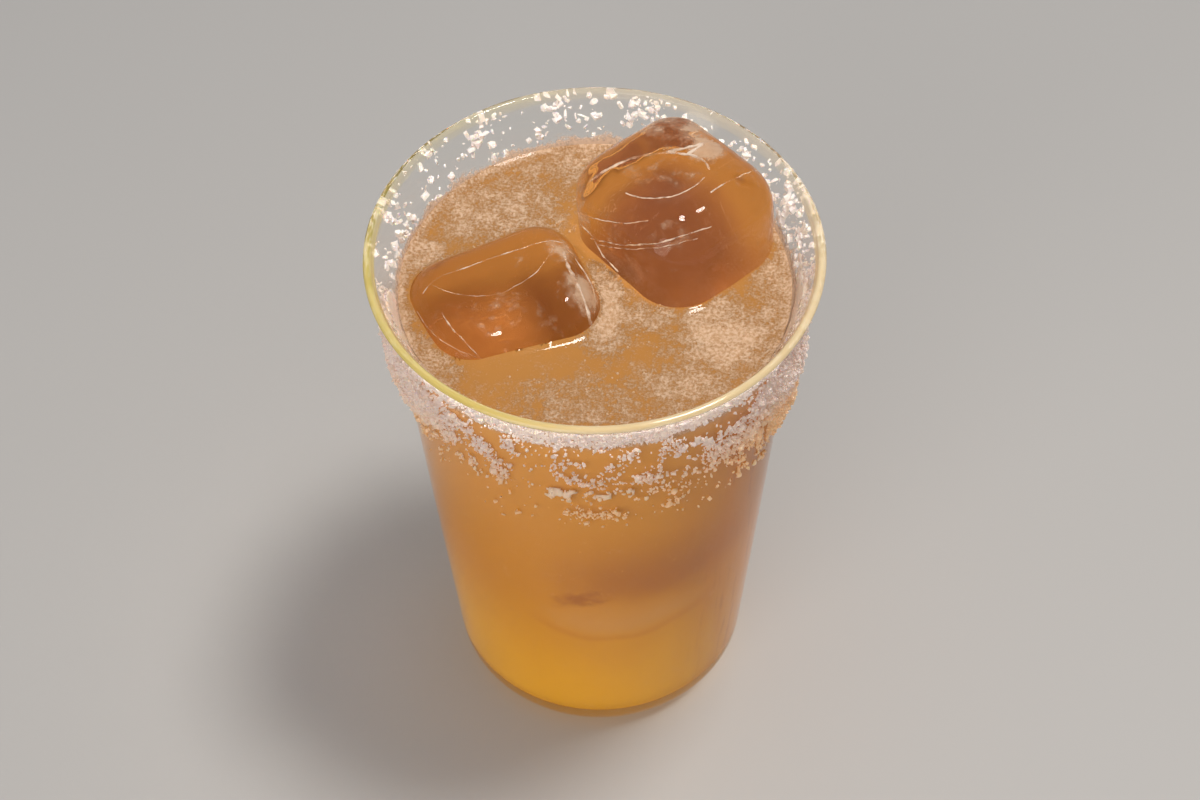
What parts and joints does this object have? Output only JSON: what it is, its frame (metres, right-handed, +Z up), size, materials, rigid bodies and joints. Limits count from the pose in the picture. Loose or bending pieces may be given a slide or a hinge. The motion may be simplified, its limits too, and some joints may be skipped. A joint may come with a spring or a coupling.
{
  "type": "margarita cocktail in a salt-rimmed tumbler",
  "caption": "Margarita on the rocks: a thin tapered tumbler with a flared rim and salt crusted outside under it, amber drink, and ice cubes floating at the surface.",
  "frame": {"origin": "centre of the glass's foot, on the surface that it stands on", "axes": "+Z up along the glass's axis, +X to the right and -Y towards the person it is served to"},
  "size_m": [0.0878, 0.0878, 0.1304],
  "materials": {
    "glass": "clear, thin, with coarse salt stuck outside under the rim",
    "drink": "cloudy amber liquid with a pale froth",
    "ice": "clear wet ice with melted edges"
  },
  "bodies": {
    "root": {"glass": "glass", "drink": "drink", "ice_cube_right": "ice", "ice_cube_left": "ice"}
  },
  "joints": []
}
